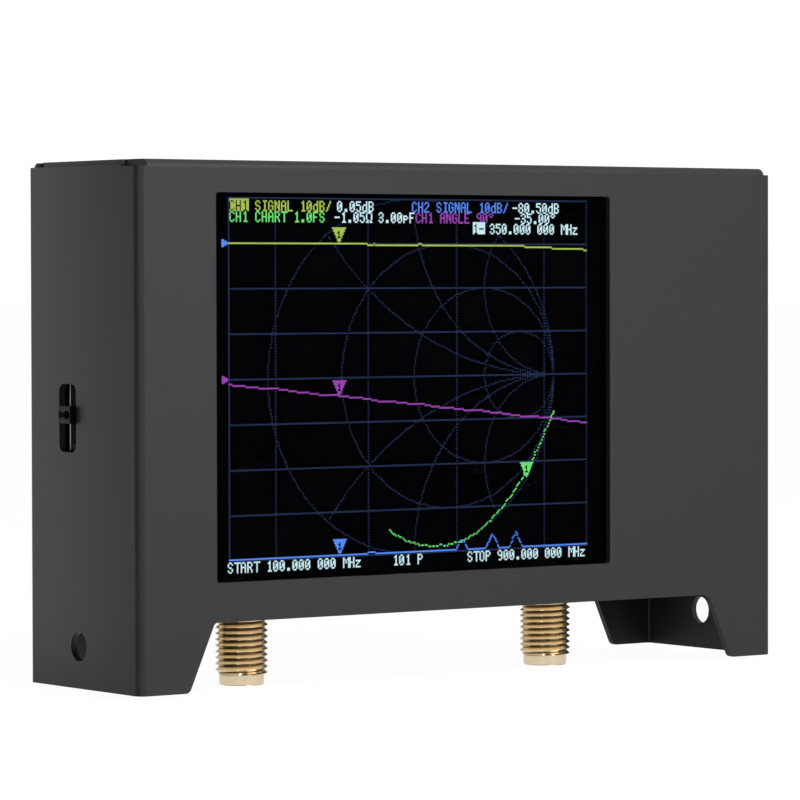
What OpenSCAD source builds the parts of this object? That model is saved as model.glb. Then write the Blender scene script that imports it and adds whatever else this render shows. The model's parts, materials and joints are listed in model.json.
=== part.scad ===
// Pocket vector network analyzer in a folded sheet-metal case, millimetres.
// The front faces -Y and +X is to its right. The origin is the middle of the whole
// object's footprint, on the level of the lowest points, the tips of the two ports.

/* [Case] */
// Overall width of the case
case_w = 93.8; // [93:0.1:100]
// Height from the feet to the top
case_h = 60.7; // [60.5:0.1:66]
// Depth from the front panel to the rear returns
case_d = 24; // [23.8:0.1:28]
// Thickness of the sheet metal
sheet_t = 0.8; // [0.6:0.1:0.9]
// Outside radius of the bends
bend_r = 1.1; // [1:0.1:1.4]
// Height of the open gap between the feet
foot_h = 7.9; // [7:0.1:8.5]
// Width of a foot where it meets the body
foot_top_w = 10.2; // [9:0.1:12]
// Width of a foot where it stands
foot_base_w = 6.7; // [6:0.1:8]
// Height of the rear lip that hangs from the top flange
rear_lip_h = 5; // [4:0.5:6]

/* [Display] */
// Width of the window in the front panel
window_w = 57.4; // [54:0.1:59]
// Height of the window
window_h = 44.6; // [42:0.1:46]
// Distance from the case's left side to the window
window_x = 10.5; // [10:0.1:12]
// Height of the window's lower edge above the feet
window_z = 12.4; // [12:0.1:13]
// Width of the display module
module_w = 69.2; // [68:0.1:70]
// Height of the display module
module_h = 50; // [49:0.1:50.2]
// Distance from the case's left side to the display module
module_x = 6.86; // [6:0.02:8]

/* [Ports] */
// Distance from the case's left side to the first port's axis
port_x = 21.9; // [20:0.1:26]
// Distance between the two ports
port_pitch = 45.25; // [40:0.05:48]
// Major diameter of the port thread
thread_d = 6.2; // [6.1:0.05:6.35]
// Pitch of the port thread
thread_pitch = 0.7056; // [0.7:0.0001:0.72]
// Distance by which the port tips reach below the feet
tip_drop = 0.6; // [0.2:0.1:1]

/* [Controls] */
// Height of the jog lever's axis above the feet
jog_z = 31.5; // [30:0.1:34]
// Travel of the jog lever to each side, in degrees
jog_swing = 15; // [8:1:15]
// Travel of the jog lever when it is pressed
jog_press = 0.4; // [0.2:0.1:0.5]
// Travel of the power knob
power_travel = 2; // [1:0.1:2]
// How far the knobs stand out of the side walls
knob_reach = 0.7; // [0.3:0.1:1.2]

/* [Boards] */
// Thickness of the display board
display_board_t = 1.2; // [1:0.1:1.6]
// Thickness of the measuring board
rf_board_t = 1.6; // [1.2:0.1:1.6]
// Width of both boards
board_w = 90.4; // [89:0.1:90.8]
// Distance of the board screws from the case's middle
screw_x = 43; // [42.6:0.1:43.2]

/* [Battery] */
// Width of the battery cell
cell_w = 60; // [50:1:62]
// Height of the battery cell
cell_h = 38; // [30:1:38]
// Thickness of the battery cell
cell_t = 5; // [4:0.1:5.1]

/* [Hidden] */
$fn = 48;

// Levels of the stack from front to back, along Y
front_y = -case_d / 2;
rear_y = case_d / 2;
panel_in_y = front_y + sheet_t;
gasket_t = 0.2;
touch_t = 0.6;
glass_t = 1;
tray_t = 1.4;
foam_t = 0.2;
touch_y = panel_in_y + gasket_t;
glass_y = touch_y + touch_t;
tray_y = glass_y + glass_t;
foam_y = tray_y + tray_t;
display_board_y = foam_y + foam_t;
display_board_back_y = display_board_y + display_board_t;
rf_back_y = -0.25;
rf_front_y = rf_back_y - rf_board_t;
lip_in_y = rear_y - 2 * sheet_t;

// Heights, along Z
feet_z = tip_drop;
top_z = feet_z + case_h;
body_z = feet_z + foot_h;
wall_top_z = top_z - 0.6;
window_corner_r = 0.4;
bend_top_z = top_z - sheet_t;
lip_z = top_z - rear_lip_h;
wall_gap = 0.1;
seam = 0.2;
flange_z = body_z + 0.1;
board_z = flange_z + sheet_t + 0.5;
rf_board_z = board_z + 1.3;
board_top_z = top_z - sheet_t - 0.3;
low_screw_z = feet_z + 14.5;
high_screw_z = feet_z + 51.4;
module_z = top_z - sheet_t - module_h - 0.04;

// Places across the width, along X
side_x = case_w / 2;
inner_x = side_x - sheet_t;
top_end_x = inner_x - wall_gap;
module_left_x = module_x - side_x;
ports = [port_x - side_x, port_x - side_x + port_pitch];

// Strap holes through the feet
strap_hole_d = 3.4;
strap_hole_y = front_y + 13;
strap_hole_z = feet_z + 4.85;

// Jog switch: housing, pivot and lever
jog_axis_z = feet_z + jog_z;
jog_axis_x = 7 - side_x;
jog_slot_y = 3.23;
jog_slot_w = 3.66;
jog_slot_h = 7.9;
jog_slot_z = feet_z + 31.1;
jog_slot_r = 1;
jog_mouth_x = 0.25 - inner_x;
jog_wall_t = 0.8;
jog_floor_t = 0.6;
jog_dome_t = 0.25;
jog_block_l = 1.7;
jog_end_x = jog_axis_x + jog_block_l + jog_press + 2 * jog_dome_t + jog_wall_t;
jog_housing_h = 8.4;
jog_cover_t = 0.3;
jog_back_y = 4.3;
jog_knob_y = 2.85;
jog_knob_l = 1;
jog_knob_h = 2;
jog_knob_w = 2.5;
jog_rib = 0.45;
jog_dish = 0.45;
jog_pin_d = 1;
jog_neck_y = 2.7;
jog_neck_w = 1.1;
jog_neck_h = 1.4;
jog_hub_d = 2.3;
jog_cheeks_y = [0.6, 4.1];
running_gap = 0.05;

// Power switch
power_z = feet_z + 42.4;
power_frame_l = 4.8;
power_frame_h = 8.6;
power_frame_w = 3.8;
power_y = rf_back_y + power_frame_w / 2;
power_frame_x = inner_x - 0.3;
power_frame_z = power_z + power_travel / 2;
power_base_t = 1.2;
power_base_x = power_frame_x - power_frame_l + power_base_t;
power_knob_h = 2;
power_knob_w = 1.6;
power_slot_w = 2.2;
power_slot_r = 0.6;

// USB socket
usb_z = feet_z + 23.4;
usb_w = 8.94;
usb_t = 3.26;
usb_y = rf_back_y + usb_t / 2;
usb_l = 7.3;
usb_corner = 1.2;
usb_wall = 0.3;
usb_slot_gap = 0.7;
usb_x = inner_x - 0.2;

// Port jack
tip_d = 5.3;
tip_l = 1.4;
jack_flange_w = 6.4;
jack_flange_t = rf_board_z - flange_z - sheet_t - 0.2;
thread_l = 7.1;
mate_bore_d = 4.6;
mate_depth = 1.9;
insulator_d = 4.1;
contact_d = 1.27;

// Screws and standoffs
screw_d = 2;
screw_head_d = 3.8;
hex_af = 4;

// Battery
cell_z = feet_z + 13.9;
tape_t = 0.1;
cell_back_y = lip_in_y - tape_t;
cell_y = cell_back_y - cell_t;
lead_d = 1.2;

// ---------- shared shapes ----------

// Points along an arc in the plane, from angle a0 to a1
function arc(cx, cy, r, a0, a1, steps = 8) = [
    for (i = [0:steps]) let (a = a0 + (a1 - a0) * i / steps) [cx + r * cos(a), cy + r * sin(a)]
];

// A rectangle with round corners and exact arcs, centred
module rounded_rect(w, h, r) {
    square([w - 2 * r, h], center = true);
    square([w, h - 2 * r], center = true);
    for (x = [-1, 1], y = [-1, 1])
        translate([x * (w / 2 - r), y * (h / 2 - r)])
            circle(r);
}

// A box from its low corner to its high corner
module span(low, high) {
    translate(low)
        cube(high - low);
}

// A flat outline drawn in X and Z, extruded along Y from y0 to y1
module slab_y(y0, y1) {
    translate([0, y1, 0])
        rotate([90, 0, 0])
            linear_extrude(y1 - y0)
                children();
}

// A flat outline drawn in Y and Z, extruded along X from x0 to x1
module slab_x(x0, x1) {
    translate([x0, 0, 0])
        rotate([90, 0, 90])
            linear_extrude(x1 - x0)
                children();
}

// A cylinder along Y from y0 to y1
module rod_y(x, z, d, y0, y1) {
    translate([x, y0, z])
        rotate([-90, 0, 0])
            cylinder(d = d, h = y1 - y0);
}

// A cylinder along X from x0 to x1
module rod_x(y, z, d, x0, x1) {
    translate([x0, y, z])
        rotate([0, 90, 0])
            cylinder(d = d, h = x1 - x0);
}

// Places a child at the four board screws
module at_screws() {
    for (x = [-screw_x, screw_x], z = [low_screw_z, high_screw_z])
        translate([x, 0, z])
            children();
}

// A flat rectangular body on a board's face, given by its middle, its width and its height
module chip(x, z, w, h, y0, y1) {
    span([x - w / 2, y0, z - h / 2], [x + w / 2, y1, z + h / 2]);
}

// ---------- case ----------

// The side walls, front panel and rear returns as seen from above
module sleeve_plan() {
    difference() {
        rounded_rect(case_w, case_d, bend_r);
        rounded_rect(case_w - 2 * sheet_t, case_d - 2 * sheet_t, bend_r - sheet_t);
        translate([0, rear_y])
            square([2 * (side_x - foot_top_w), 4 * sheet_t], center = true);
    }
}

// Only the side walls and their bends, without the flat front panel
module side_plan() {
    intersection() {
        sleeve_plan();
        union() {
            for (s = [-1, 1])
                translate([s * side_x, 0])
                    square([2 * bend_r, 2 * case_d], center = true);
            translate([0, rear_y])
                square([case_w, 2 * bend_r], center = true);
        }
    }
}

// The bend from the front panel into the top flange, and the flange, as seen from the side
module top_profile() {
    difference() {
        translate([0, top_z - case_h / 2])
            rounded_rect(case_d, case_h, bend_r);
        translate([0, top_z - case_h / 2])
            rounded_rect(case_d - 2 * sheet_t, case_h - 2 * sheet_t, bend_r - sheet_t);
        translate([front_y - 1, 0])
            square([case_d + 2, top_z - bend_r]);
    }
}

// What rounds a corner: a square outside the corner without the quarter circle inside it
module corner_waste(r) {
    difference() {
        translate([-r, -r])
            square(2 * r);
        translate([-r, -r])
            circle(r);
    }
}

// The gap between the feet, seen from the front, with rounded corners
module foot_gap() {
    toe_r = 0.8;
    head_r = 0.6;
    lean = atan((foot_top_w - foot_base_w) / foot_h);
    shift = (1 - sin(lean)) / cos(lean);
    toe_x = side_x - foot_base_w + toe_r * shift;
    head_x = side_x - foot_top_w - head_r * shift;
    half = concat(
        [[toe_x, feet_z - 2]],
        arc(toe_x, feet_z + toe_r, toe_r, 270, 180 + lean),
        arc(head_x, body_z - head_r, head_r, lean, 90)
    );
    mirrored = [for (i = [len(half) - 1:-1:0]) [-half[i][0], half[i][1]]];
    polygon(concat(half, mirrored));
}

// The side walls, front panel and rear returns. The returns stop under the rear lip.
module sleeve_walls() {
    difference() {
        union() {
            translate([0, 0, feet_z])
                linear_extrude(case_h - bend_r)
                    sleeve_plan();
            translate([0, 0, top_z - bend_r])
                linear_extrude(wall_top_z - top_z + bend_r)
                    side_plan();
        }
        span([-inner_x, rear_y - sheet_t - seam, lip_z - seam], [inner_x, rear_y + 1, top_z]);
    }
}

// The top flange with its front bend, and the lip that hangs from its rear bend
module sleeve_top() {
    lip_end_x = inner_x - 0.5;
    slab_x(-top_end_x, top_end_x)
        top_profile();
    span([-lip_end_x, rear_y - sheet_t, lip_z], [lip_end_x, rear_y, top_z - bend_r]);
}

module case_sleeve() {
    front_relief_l = 4.7;
    front_relief_x = top_end_x - 0.4;
    rear_relief_l = 1.5;
    rear_relief_x = top_end_x - 0.6;
    rear_relief_y = rear_y - sheet_t - rear_relief_l / 2;
    wall_corner_r = 0.5;
    through = sheet_t + 1;
    color([0.16, 0.16, 0.165])
    difference() {
        union() {
            sleeve_walls();
            sleeve_top();
        }
        slab_y(front_y - 1, rear_y + 1)
            foot_gap();
        slab_y(front_y - 1, panel_in_y + 1)
            translate([window_x - side_x + window_w / 2, feet_z + window_z + window_h / 2])
                rounded_rect(window_w, window_h, window_corner_r);
        rod_x(strap_hole_y, strap_hole_z, strap_hole_d, -side_x - 1, side_x + 1);
        slab_x(-side_x - 1, through - side_x)
            translate([jog_slot_y, jog_slot_z])
                rounded_rect(jog_slot_w, jog_slot_h, jog_slot_r);
        slab_x(side_x - through, side_x + 1)
            translate([power_y, power_z + power_travel / 2])
                rounded_rect(power_slot_w, power_knob_h + power_travel + 1, power_slot_r);
        slab_x(side_x - through, side_x + 1)
            translate([usb_y, usb_z])
                rounded_rect(usb_t + usb_slot_gap, usb_w + usb_slot_gap, usb_t / 2);
        for (s = [-1, 1]) {
            // relief notch between the front bend, the top flange and the wall
            translate([s * side_x, front_y - 1 + (front_relief_l + 1) / 2, bend_top_z + 1])
                cube([2 * (side_x - front_relief_x), front_relief_l + 1, 2], center = true);
            // relief notch in the flange at the rear bend
            translate([s * (rear_relief_x + inner_x) / 2, rear_relief_y, bend_top_z])
                cube([inner_x - rear_relief_x, rear_relief_l, 2 * bend_r], center = true);
            // the wall's rear top corner is round
            slab_x(s * side_x - side_x + top_end_x, s * side_x + side_x - top_end_x)
                translate([rear_y, wall_top_z])
                    corner_waste(wall_corner_r);
        }
        at_screws()
            screw_hole();
    }
}

// A countersunk hole through the rear return and the chassis behind it
module screw_hole() {
    rod_y(0, 0, screw_d + 0.2, lip_in_y - 1, rear_y + 1);
    translate([0, rear_y, 0])
        rotate([90, 0, 0])
            cylinder(d1 = screw_head_d, d2 = screw_d + 0.2, h = 1);
}

module chassis() {
    plate_top_z = top_z - bend_r - wall_gap;
    plate_h = 60;
    half_w = inner_x - 0.4;
    color([0.14, 0.14, 0.145])
    difference() {
        slab_x(-half_w, half_w)
            difference() {
                translate([0, flange_z + plate_h / 2])
                    rounded_rect(2 * (rear_y - sheet_t), plate_h, bend_r);
                translate([0, flange_z + plate_h / 2])
                    rounded_rect(2 * lip_in_y, plate_h - 2 * sheet_t, bend_r - sheet_t);
                translate([front_y - 1, plate_top_z])
                    square([case_d + 2, plate_h]);
                translate([front_y, flange_z - 1])
                    square([sheet_t + 1, plate_h + 2]);
            }
        for (x = ports)
            translate([x, 0, flange_z - 1])
                cylinder(d = thread_d + 0.8, h = sheet_t + 2);
        at_screws()
            screw_hole();
    }
}

module case_screws() {
    shank_l = 6;
    color([0.3, 0.3, 0.31])
    at_screws()
        difference() {
            union() {
                rod_y(0, 0, screw_d - 0.1, rear_y - shank_l, rear_y - 0.8);
                translate([0, rear_y, 0])
                    rotate([90, 0, 0])
                        cylinder(d1 = screw_head_d, d2 = screw_d - 0.1, h = 1);
            }
            // hexagon recess
            translate([0, rear_y + 0.01, 0])
                rotate([90, 0, 0])
                    cylinder(d = 1.5, h = 0.7, $fn = 6);
        }
}

module rear_standoffs() {
    color([0.75, 0.7, 0.55])
    at_screws()
        difference() {
            translate([0, lip_in_y, 0])
                rotate([90, 0, 0])
                    cylinder(d = hex_af / cos(30), h = lip_in_y - rf_back_y, $fn = 6);
            rod_y(0, 0, screw_d, rf_back_y - 1, lip_in_y + 1);
        }
}

module front_spacers() {
    stud_l = 2.6;
    color([0.75, 0.7, 0.55])
    at_screws()
        difference() {
            union() {
                translate([0, rf_front_y, 0])
                    rotate([90, 0, 0])
                        cylinder(d = hex_af / cos(30), h = rf_front_y - display_board_back_y, $fn = 6);
                rod_y(0, 0, screw_d - 0.1, rf_front_y, rf_back_y + stud_l);
            }
            rod_y(0, 0, screw_d, display_board_back_y - 1, rf_front_y - 1.2);
        }
}

module board_screws() {
    head_t = 1.1;
    color([0.7, 0.7, 0.72])
    at_screws()
        difference() {
            union() {
                rod_y(0, 0, screw_head_d, display_board_y - head_t, display_board_y);
                rod_y(0, 0, screw_d - 0.1, display_board_y, rf_front_y - 2);
            }
            translate([-1.3, display_board_y - head_t - 0.1, -0.25])
                cube([2.6, 0.6, 0.5]);
            translate([-0.25, display_board_y - head_t - 0.1, -1.3])
                cube([0.5, 0.6, 2.6]);
        }
}

// ---------- display ----------

module window_gasket() {
    centre = [window_x - side_x + window_w / 2, feet_z + window_z + window_h / 2];
    color([0.03, 0.03, 0.03])
    slab_y(panel_in_y, touch_y)
        translate(centre)
            difference() {
                rounded_rect(window_w + 3.6, window_h + 3.6, 0.8);
                rounded_rect(window_w + 0.8, window_h + 0.8, 0.6);
            }
}

module touch_panel() {
    short = 3;
    color([0.25, 0.27, 0.28])
    slab_y(touch_y, glass_y)
        translate([module_left_x + (module_w - short) / 2, module_z + module_h / 2])
            rounded_rect(module_w - short, module_h, 0.5);
}

glass_w = module_w - 3.7;
ledge_w = 2.5;
ledge_y = glass_y + glass_t / 2;
tray_wall = 1.4;
tray_pocket = 1;

module lcd_glass() {
    top = module_z + module_h;
    color([0.01, 0.01, 0.015])
    union() {
        span([module_left_x, glass_y, module_z], [module_left_x + glass_w, ledge_y, top]);
        span([module_left_x, ledge_y, module_z], [module_left_x + glass_w + ledge_w, tray_y, top]);
    }
}

module lcd_driver_chip() {
    chip_w = 0.9;
    chip_h = 16;
    chip_t = 0.3;
    color([0.1, 0.1, 0.12])
    chip(module_left_x + glass_w + 0.8, module_z + module_h / 2, chip_w, chip_h,
         ledge_y - chip_t, ledge_y);
}

module light_guide() {
    inset = tray_wall + 0.1;
    color([0.85, 0.9, 0.92])
    span([module_left_x + inset, tray_y, module_z + inset],
         [module_left_x + module_w - inset, tray_y + tray_pocket - 0.1, module_z + module_h - inset]);
}

module lcd_tray() {
    color([0.9, 0.9, 0.88])
    difference() {
        span([module_left_x, tray_y, module_z],
             [module_left_x + module_w, foam_y, module_z + module_h]);
        span([module_left_x + tray_wall, tray_y - 1, module_z + tray_wall],
             [module_left_x + module_w - tray_wall, tray_y + tray_pocket,
              module_z + module_h - tray_wall]);
    }
}

// The flex runs from the glass ledge in an S-bend down to its connector
flex_start_x = module_left_x + module_w - 2.3;
flex_end_x = module_left_x + module_w + 7;
flex_w = 20;
flex_t = 0.12;
connector_t = 1.2;
connector_y = display_board_y - connector_t;
connector_slot_y = connector_y + 0.3;

module lcd_flex() {
    steps = 14;
    front = ledge_y - flex_t;
    rise = connector_slot_y + 0.1 - front;
    line = [
        for (i = [0:steps])
            let (u = i / steps, s = max(0, min(1, (u - 0.15) / 0.7)))
            [flex_start_x + u * (flex_end_x - flex_start_x), front + rise * s * s * (3 - 2 * s)]
    ];
    back = [for (i = [steps:-1:0]) [line[i][0], line[i][1] + flex_t]];
    color([0.75, 0.45, 0.12])
    translate([0, 0, module_z + module_h / 2 - flex_w / 2])
        linear_extrude(flex_w)
            polygon(concat(line, back));
}

module flex_connector() {
    body_l = 3.6;
    slot_l = 2.2;
    color([0.85, 0.83, 0.75])
    difference() {
        chip(flex_end_x + 0.8, module_z + module_h / 2, body_l, flex_w + 3,
             connector_y, display_board_y);
        chip(flex_end_x - 1, module_z + module_h / 2, slot_l, flex_w + 0.4,
             connector_slot_y, connector_slot_y + flex_t + 0.2);
    }
}

module mounting_foam() {
    strip_h = 6;
    strip_end = 4;
    strip_in = 8;
    color([0.05, 0.05, 0.05])
    for (z = [module_z + strip_in, module_z + module_h - strip_in])
        span([module_left_x + strip_end, foam_y, z - strip_h / 2],
             [module_left_x + module_w - strip_end, display_board_y, z + strip_h / 2]);
}

// ---------- boards ----------

module board(y0, y1, low_z) {
    difference() {
        span([-board_w / 2, y0, low_z], [board_w / 2, y1, board_top_z]);
        at_screws()
            rod_y(0, 0, screw_d + 0.2, y0 - 1, y1 + 1);
    }
}

module display_board() {
    color([0.03, 0.05, 0.04])
    board(display_board_y, display_board_back_y, board_z);
}

module rf_board() {
    color([0.03, 0.05, 0.04])
    board(rf_front_y, rf_back_y, rf_board_z);
}

module processor_chip() {
    body_w = 7;
    body_t = 1;
    color([0.06, 0.06, 0.06])
    chip(-24, feet_z + 30, body_w, body_w, display_board_back_y, display_board_back_y + body_t);
}

// Board-to-board header: two rows of pins on a 2.54 mm grid
header_cols = 8;
header_pitch = 2.54;
header_x = -8;
header_z = feet_z + 53.5;
header_pin = 0.64;
header_split_y = display_board_back_y + 2.2;

module at_header_pins() {
    first_x = header_x - (header_cols - 1) / 2 * header_pitch;
    for (i = [0:header_cols - 1], j = [-0.5, 0.5])
        translate([first_x + i * header_pitch, 0, header_z + j * header_pitch])
            children();
}

module square_pin(w, y0, y1) {
    translate([-w / 2, y0, -w / 2])
        cube([w, y1 - y0, w]);
}

module header_base() {
    color([0.05, 0.05, 0.05])
    difference() {
        chip(header_x, header_z, header_cols * header_pitch, 2 * header_pitch,
             display_board_back_y, header_split_y);
        at_header_pins()
            square_pin(header_pin, display_board_back_y - 1, header_split_y + 1);
    }
}

module header_pins() {
    color([0.85, 0.68, 0.3])
    at_header_pins()
        square_pin(header_pin, display_board_back_y, rf_front_y - 0.8);
}

module header_socket() {
    color([0.05, 0.05, 0.05])
    difference() {
        chip(header_x, header_z, header_cols * header_pitch, 2 * header_pitch,
             header_split_y, rf_front_y);
        at_header_pins()
            square_pin(header_pin + 0.2, header_split_y - 1, rf_front_y - 0.6);
    }
}

// A shield can: five thin walls, open towards the measuring board
module shield(x, z, w, h) {
    shield_t = 2.5;
    can_wall = 0.25;
    difference() {
        chip(x, z, w, h, rf_front_y - shield_t, rf_front_y);
        chip(x, z, w - 2 * can_wall, h - 2 * can_wall,
             rf_front_y - shield_t + can_wall, rf_front_y + 1);
    }
}

shield_z = feet_z + 29;
shield_h = 30;
shield_w = 26;

module left_shield() {
    color([0.72, 0.72, 0.7])
    shield(ports[0], shield_z, shield_w, shield_h);
}

module right_shield() {
    color([0.72, 0.72, 0.7])
    shield(ports[1], shield_z, shield_w, shield_h);
}

module rf_chips() {
    chip_w = 4;
    chip_t = 0.9;
    chip_pitch = 8;
    color([0.06, 0.06, 0.06])
    for (x = ports, i = [-1:1])
        chip(x, shield_z + i * chip_pitch, chip_w, chip_w, rf_front_y - chip_t, rf_front_y);
}

module quartz_crystal() {
    color([0.78, 0.78, 0.76])
    chip(0, feet_z + 38, 5, 3.2, rf_front_y - 1, rf_front_y);
}

charger_x = 33;

module charger_chip() {
    chip_w = 3;
    chip_t = 0.9;
    color([0.06, 0.06, 0.06])
    chip(charger_x, feet_z + 26, chip_w, chip_w, rf_back_y, rf_back_y + chip_t);
}

module charger_inductor() {
    coil_w = 4;
    coil_t = 2;
    color([0.2, 0.2, 0.2])
    slab_y(rf_back_y, rf_back_y + coil_t)
        translate([charger_x, feet_z + 19])
            rounded_rect(coil_w, coil_w, coil_w / 5);
}

// ---------- ports ----------

// Half section of a jack: plain tip, ridged thread and the round root above it
module jack_section() {
    ridges = floor(thread_l / thread_pitch);
    root_r = thread_d / 2 - 0.613 * thread_pitch;
    crest = thread_pitch / 8;
    bevel = 0.25;
    ridge_pts = [
        for (i = [0:ridges - 1])
            let (z = tip_l + (i + 0.5) * thread_pitch)
            for (p = [[root_r, -0.5], [thread_d / 2, -crest / 2 / thread_pitch],
                      [thread_d / 2, crest / 2 / thread_pitch]])
                [p[0], z + p[1] * thread_pitch]
    ];
    top = tip_l + ridges * thread_pitch;
    end_z = flange_z + sheet_t + 0.2;
    polygon(concat(
        [[mate_bore_d / 2, 0]],
        [[tip_d / 2 - bevel, 0]],
        [[tip_d / 2, bevel]],
        [[tip_d / 2, tip_l - (tip_d / 2 - root_r)]],
        ridge_pts,
        [[root_r, top]],
        [[root_r, end_z]],
        [[insulator_d / 2, end_z]],
        [[insulator_d / 2, mate_depth]],
        [[mate_bore_d / 2, mate_depth]]
    ));
}

module port_jack(x) {
    leg_l = 3;
    leg_w = 1;
    foot_z = flange_z + sheet_t + 0.2;
    color([0.83, 0.66, 0.36])
    translate([x, 0, 0])
        difference() {
            union() {
                rotate_extrude($fn = 96)
                    jack_section();
                // square flange against the board's edge, with four legs along its faces
                span([-jack_flange_w / 2, -jack_flange_w / 2, foot_z],
                     [jack_flange_w / 2, jack_flange_w / 2, rf_board_z]);
                for (s = [-1, 1], y = [rf_front_y - leg_w, rf_back_y])
                    translate([s * (jack_flange_w - leg_w) / 2 - leg_w / 2, y, rf_board_z])
                        cube([leg_w, leg_w, leg_l]);
            }
            translate([0, 0, foot_z - 1])
                cylinder(d = insulator_d, h = jack_flange_t + 2);
        }
}

module port_insulator(x) {
    color([0.93, 0.92, 0.88])
    translate([x, 0, mate_depth])
        difference() {
            cylinder(d = insulator_d, h = rf_board_z - mate_depth);
            translate([0, 0, -1])
                cylinder(d = contact_d, h = rf_board_z + 2);
        }
}

// Centre contact: a slotted socket at the mouth and a flat-lying pin on the board
module port_contact(x) {
    socket_depth = 2.4;
    tail_l = 2.4;
    color([0.88, 0.7, 0.32])
    translate([x, 0, mate_depth])
        difference() {
            union() {
                cylinder(d = contact_d, h = rf_board_z - mate_depth);
                cylinder(d = -2 * rf_back_y, h = rf_board_z - mate_depth + tail_l);
            }
            translate([0, 0, -1])
                cylinder(d = 0.92, h = socket_depth + 1);
            translate([-1, -0.08, -1])
                cube([2, 0.16, socket_depth]);
        }
}

// ---------- jog switch ----------

module jog_housing() {
    low_z = jog_axis_z - jog_housing_h / 2;
    color([0.05, 0.05, 0.05])
    difference() {
        span([jog_mouth_x, rf_back_y, low_z], [jog_end_x, jog_back_y, low_z + jog_housing_h]);
        span([jog_mouth_x - 1, rf_back_y + jog_floor_t, low_z + jog_wall_t],
             [jog_end_x - jog_wall_t, jog_back_y + 1, low_z + jog_housing_h - jog_wall_t]);
    }
}

// Cover over the open side of the housing
module jog_cover() {
    low_z = jog_axis_z - jog_housing_h / 2;
    color([0.7, 0.7, 0.7])
    span([jog_mouth_x, jog_back_y, low_z],
         [jog_end_x, jog_back_y + jog_cover_t, low_z + jog_housing_h]);
}

module jog_dome() {
    dome_d = 2.4;
    wall_x = jog_end_x - jog_wall_t;
    color([0.8, 0.75, 0.5])
    rod_x(jog_neck_y, jog_axis_z, dome_d, wall_x - jog_dome_t, wall_x);
}

// The carriage slides inwards and holds the lever's pivot between two cheeks.
// The slot between them flares by the lever's swing, so its faces are the lever's stops.
module jog_carriage() {
    carriage_h = 4;
    reach = 3;
    low_z = jog_axis_z - carriage_h / 2;
    slot_w = jog_neck_w + 0.3;
    slot_h = jog_neck_h + 2 * running_gap;
    color([0.08, 0.08, 0.08])
    difference() {
        span([jog_axis_x - jog_hub_d / 2 - running_gap, jog_cheeks_y[0], low_z],
             [jog_axis_x + jog_block_l, jog_cheeks_y[1], low_z + carriage_h]);
        slab_y(jog_neck_y - slot_w / 2, jog_neck_y + slot_w / 2)
            translate([jog_axis_x, jog_axis_z]) {
                circle(d = jog_hub_d + 2 * running_gap);
                for (a = [-jog_swing, 0, jog_swing])
                    rotate(a)
                        translate([-reach, -slot_h / 2])
                            square([reach, slot_h]);
            }
        rod_y(jog_axis_x, jog_axis_z, jog_pin_d, jog_cheeks_y[0] - 1, jog_cheeks_y[1] + 1);
    }
}

module jog_pin() {
    color([0.7, 0.7, 0.7])
    rod_y(jog_axis_x, jog_axis_z, jog_pin_d, jog_cheeks_y[0], jog_cheeks_y[1]);
}

// The lever: a hub on the pin, a neck, and the knob with its two ribs and the dish between them
module jog_lever() {
    tip_x = -side_x - knob_reach;
    knob_low = [tip_x, jog_knob_y - jog_knob_w / 2, jog_axis_z - jog_knob_h / 2];
    neck_low = [tip_x + jog_knob_l / 2, jog_neck_y - jog_neck_w / 2, jog_axis_z - jog_neck_h / 2];
    dish_h = jog_knob_h - 2 * jog_rib;
    color([0.1, 0.1, 0.1])
    difference() {
        union() {
            rod_y(jog_axis_x, jog_axis_z, jog_hub_d, neck_low[1], neck_low[1] + jog_neck_w);
            span(neck_low, [jog_axis_x, neck_low[1] + jog_neck_w, neck_low[2] + jog_neck_h]);
            span(knob_low, knob_low + [jog_knob_l, jog_knob_w, jog_knob_h]);
        }
        rod_y(jog_axis_x, jog_axis_z, jog_pin_d + 2 * running_gap, 0, 6);
        // the dish, a four-sided hollow that gets narrower inwards
        translate([tip_x, jog_knob_y, jog_axis_z])
            rotate([0, 90, 0])
                linear_extrude(jog_dish, scale = 0.15)
                    square([dish_h, jog_knob_w + 0.02], center = true);
    }
}

// ---------- power switch ----------

module power_switch_frame() {
    frame_t = 0.3;
    half_w = power_frame_w / 2;
    half_h = power_frame_h / 2;
    opening = power_knob_h / 2 + 0.4;
    color([0.72, 0.72, 0.7])
    difference() {
        span([power_base_x, power_y - half_w, power_frame_z - half_h],
             [power_frame_x, power_y + half_w, power_frame_z + half_h]);
        span([power_base_x - 1, power_y - half_w + frame_t, power_frame_z - half_h + frame_t],
             [power_frame_x - frame_t, power_y + half_w - frame_t, power_frame_z + half_h - frame_t]);
        span([power_frame_x - 1, power_y - 1, power_z - opening],
             [power_frame_x + 1, power_y + 1, power_z + power_travel + opening]);
    }
}

module power_switch_base() {
    half_w = power_frame_w / 2;
    half_h = power_frame_h / 2;
    color([0.45, 0.25, 0.12])
    span([power_base_x - power_base_t, power_y - half_w, power_frame_z - half_h],
         [power_base_x, power_y + half_w, power_frame_z + half_h]);
}

// Sliding knob: a stem through the wall on a wider shoe inside the frame
module power_knob() {
    shoe_w = 2.8;
    shoe_h = 3.6;
    shoe_x = power_base_x + 0.1;
    shoe_end_x = power_frame_x - 0.5;
    color([0.08, 0.08, 0.08])
    union() {
        span([shoe_x, power_y - shoe_w / 2, power_z - shoe_h / 2],
             [shoe_end_x, power_y + shoe_w / 2, power_z + shoe_h / 2]);
        span([shoe_end_x, power_y - power_knob_w / 2, power_z - power_knob_h / 2],
             [side_x + knob_reach, power_y + power_knob_w / 2, power_z + power_knob_h / 2]);
    }
}

// ---------- USB socket ----------

module usb_inside(x0, x1) {
    slab_x(x0, x1)
        translate([usb_y, usb_z])
            rounded_rect(usb_t - 2 * usb_wall, usb_w - 2 * usb_wall, usb_corner - usb_wall);
}

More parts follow.
